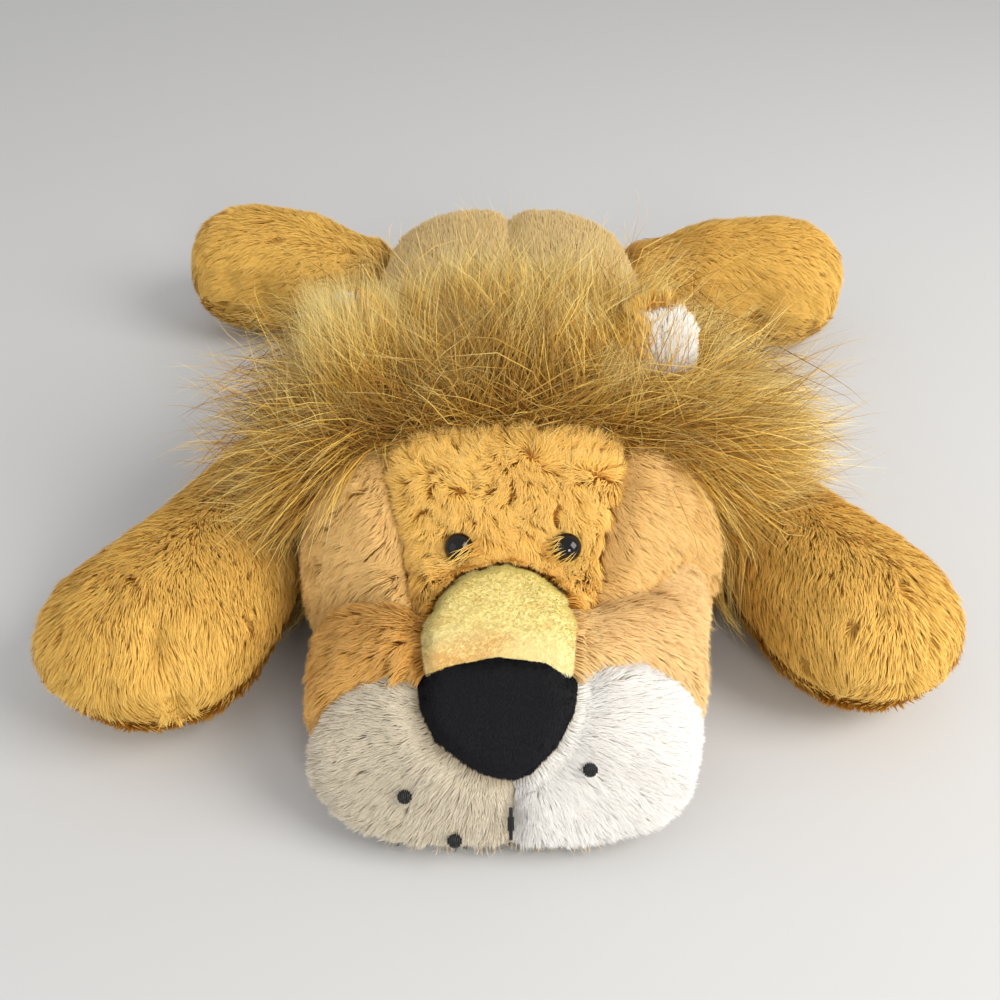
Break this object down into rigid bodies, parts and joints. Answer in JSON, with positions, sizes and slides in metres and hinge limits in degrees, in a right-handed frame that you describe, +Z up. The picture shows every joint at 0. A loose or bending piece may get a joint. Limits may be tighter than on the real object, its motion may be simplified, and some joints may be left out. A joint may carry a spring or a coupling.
{
  "type": "plush lion",
  "caption": "Soft lion toy lying on its belly with a shaggy mane, splayed stuffed legs, a broad muzzle with a velour nose, floppy ears and a tufted tail.",
  "frame": {"origin": "middle of the bottom of the box around the whole lion", "axes": "the lion faces -Y, +X is its own left side, +Z is up"},
  "size_m": [0.3682, 0.427, 0.1202],
  "materials": {
    "golden_fur": "short dense plush pile",
    "pale_fur": "short dense plush pile",
    "forehead_fur": "short dense plush pile",
    "mane_fur": "long shaggy pile",
    "white_fur": "short dense plush pile",
    "yellow_velour": "very short velour",
    "black_velour": "very short velour",
    "black_thread": "embroidery thread",
    "eye_plastic": "polished",
    "washer_plastic": "moulded",
    "stuffing": "loose fibre"
  },
  "bodies": {
    "torso": {"neck_cover": "golden_fur", "belly": "pale_fur", "back_left": "pale_fur", "back_right": "pale_fur", "torso_stuffing": "stuffing"},
    "head": {"forehead": "forehead_fur", "face_side_left": "golden_fur", "face_side_right": "golden_fur", "cheek_left": "golden_fur", "cheek_right": "golden_fur", "nose_bridge": "yellow_velour", "nose": "black_velour", "muzzle_pad_left": "white_fur", "muzzle_pad_right": "white_fur", "head_underside": "pale_fur", "head_back": "golden_fur", "head_stuffing": "stuffing", "eye_left": "eye_plastic", "eye_washer_left": "washer_plastic", "eye_right": "eye_plastic", "eye_washer_right": "washer_plastic", "whisker_dot_left": "black_thread", "whisker_dot_right_upper": "black_thread", "whisker_dot_right_lower": "black_thread", "mouth_stitch": "black_thread", "mane": "mane_fur"},
    "ear_left": {"ear_left": "golden_fur", "ear_lining_left": "white_fur"},
    "ear_right": {"ear_right": "golden_fur", "ear_lining_right": "white_fur"},
    "front_leg_left": {"front_leg_left_cover": "golden_fur", "front_leg_left_sole": "pale_fur", "front_leg_left_stuffing": "stuffing"},
    "front_leg_right": {"front_leg_right_cover": "golden_fur", "front_leg_right_sole": "pale_fur", "front_leg_right_stuffing": "stuffing"},
    "hind_leg_left": {"hind_leg_left_cover": "golden_fur", "hind_leg_left_sole": "pale_fur", "hind_leg_left_stuffing": "stuffing"},
    "hind_leg_right": {"hind_leg_right_cover": "golden_fur", "hind_leg_right_sole": "pale_fur", "hind_leg_right_stuffing": "stuffing"},
    "tail": {"tail_cover": "golden_fur", "tail_stuffing": "stuffing", "tail_tuft": "mane_fur"}
  },
  "joints": [
    {"name": "head_nod", "type": "hinge", "parent": "torso", "child": "head", "pos_m": [-0.00034, -0.0147, 0.042], "axis": [-1, 0, 0], "range_deg": [0, 25]},
    {"name": "front_leg_left_swing", "type": "hinge", "parent": "torso", "child": "front_leg_left", "pos_m": [0.07466, 0.0053, 0.03], "axis": [0, 0, 1], "range_deg": [0, 40]},
    {"name": "front_leg_right_swing", "type": "hinge", "parent": "torso", "child": "front_leg_right", "pos_m": [-0.08634, 0.0163, 0.03], "axis": [0, 0, -1], "range_deg": [0, 40]},
    {"name": "hind_leg_left_swing", "type": "hinge", "parent": "torso", "child": "hind_leg_left", "pos_m": [0.08166, 0.1363, 0.035], "axis": [0, 0, -1], "range_deg": [-20, 20]},
    {"name": "hind_leg_right_swing", "type": "hinge", "parent": "torso", "child": "hind_leg_right", "pos_m": [-0.08934, 0.1433, 0.035], "axis": [0, 0, 1], "range_deg": [-20, 20]},
    {"name": "tail_swing", "type": "hinge", "parent": "torso", "child": "tail", "pos_m": [-0.00234, 0.1763, 0.031], "axis": [0, 0, 1], "range_deg": [0, 30]},
    {"name": "ear_left_bend", "type": "hinge", "parent": "head", "child": "ear_left", "pos_m": [0.06066, -0.0517, 0.087], "axis": [0.9136, 0.4067, 0], "range_deg": [-15, 15], "stiffness_Nm_per_rad": 0.02},
    {"name": "ear_right_bend", "type": "hinge", "parent": "head", "child": "ear_right", "pos_m": [-0.07234, -0.0517, 0.087], "axis": [0.9136, -0.4067, 0], "range_deg": [-15, 15], "stiffness_Nm_per_rad": 0.02}
  ]
}
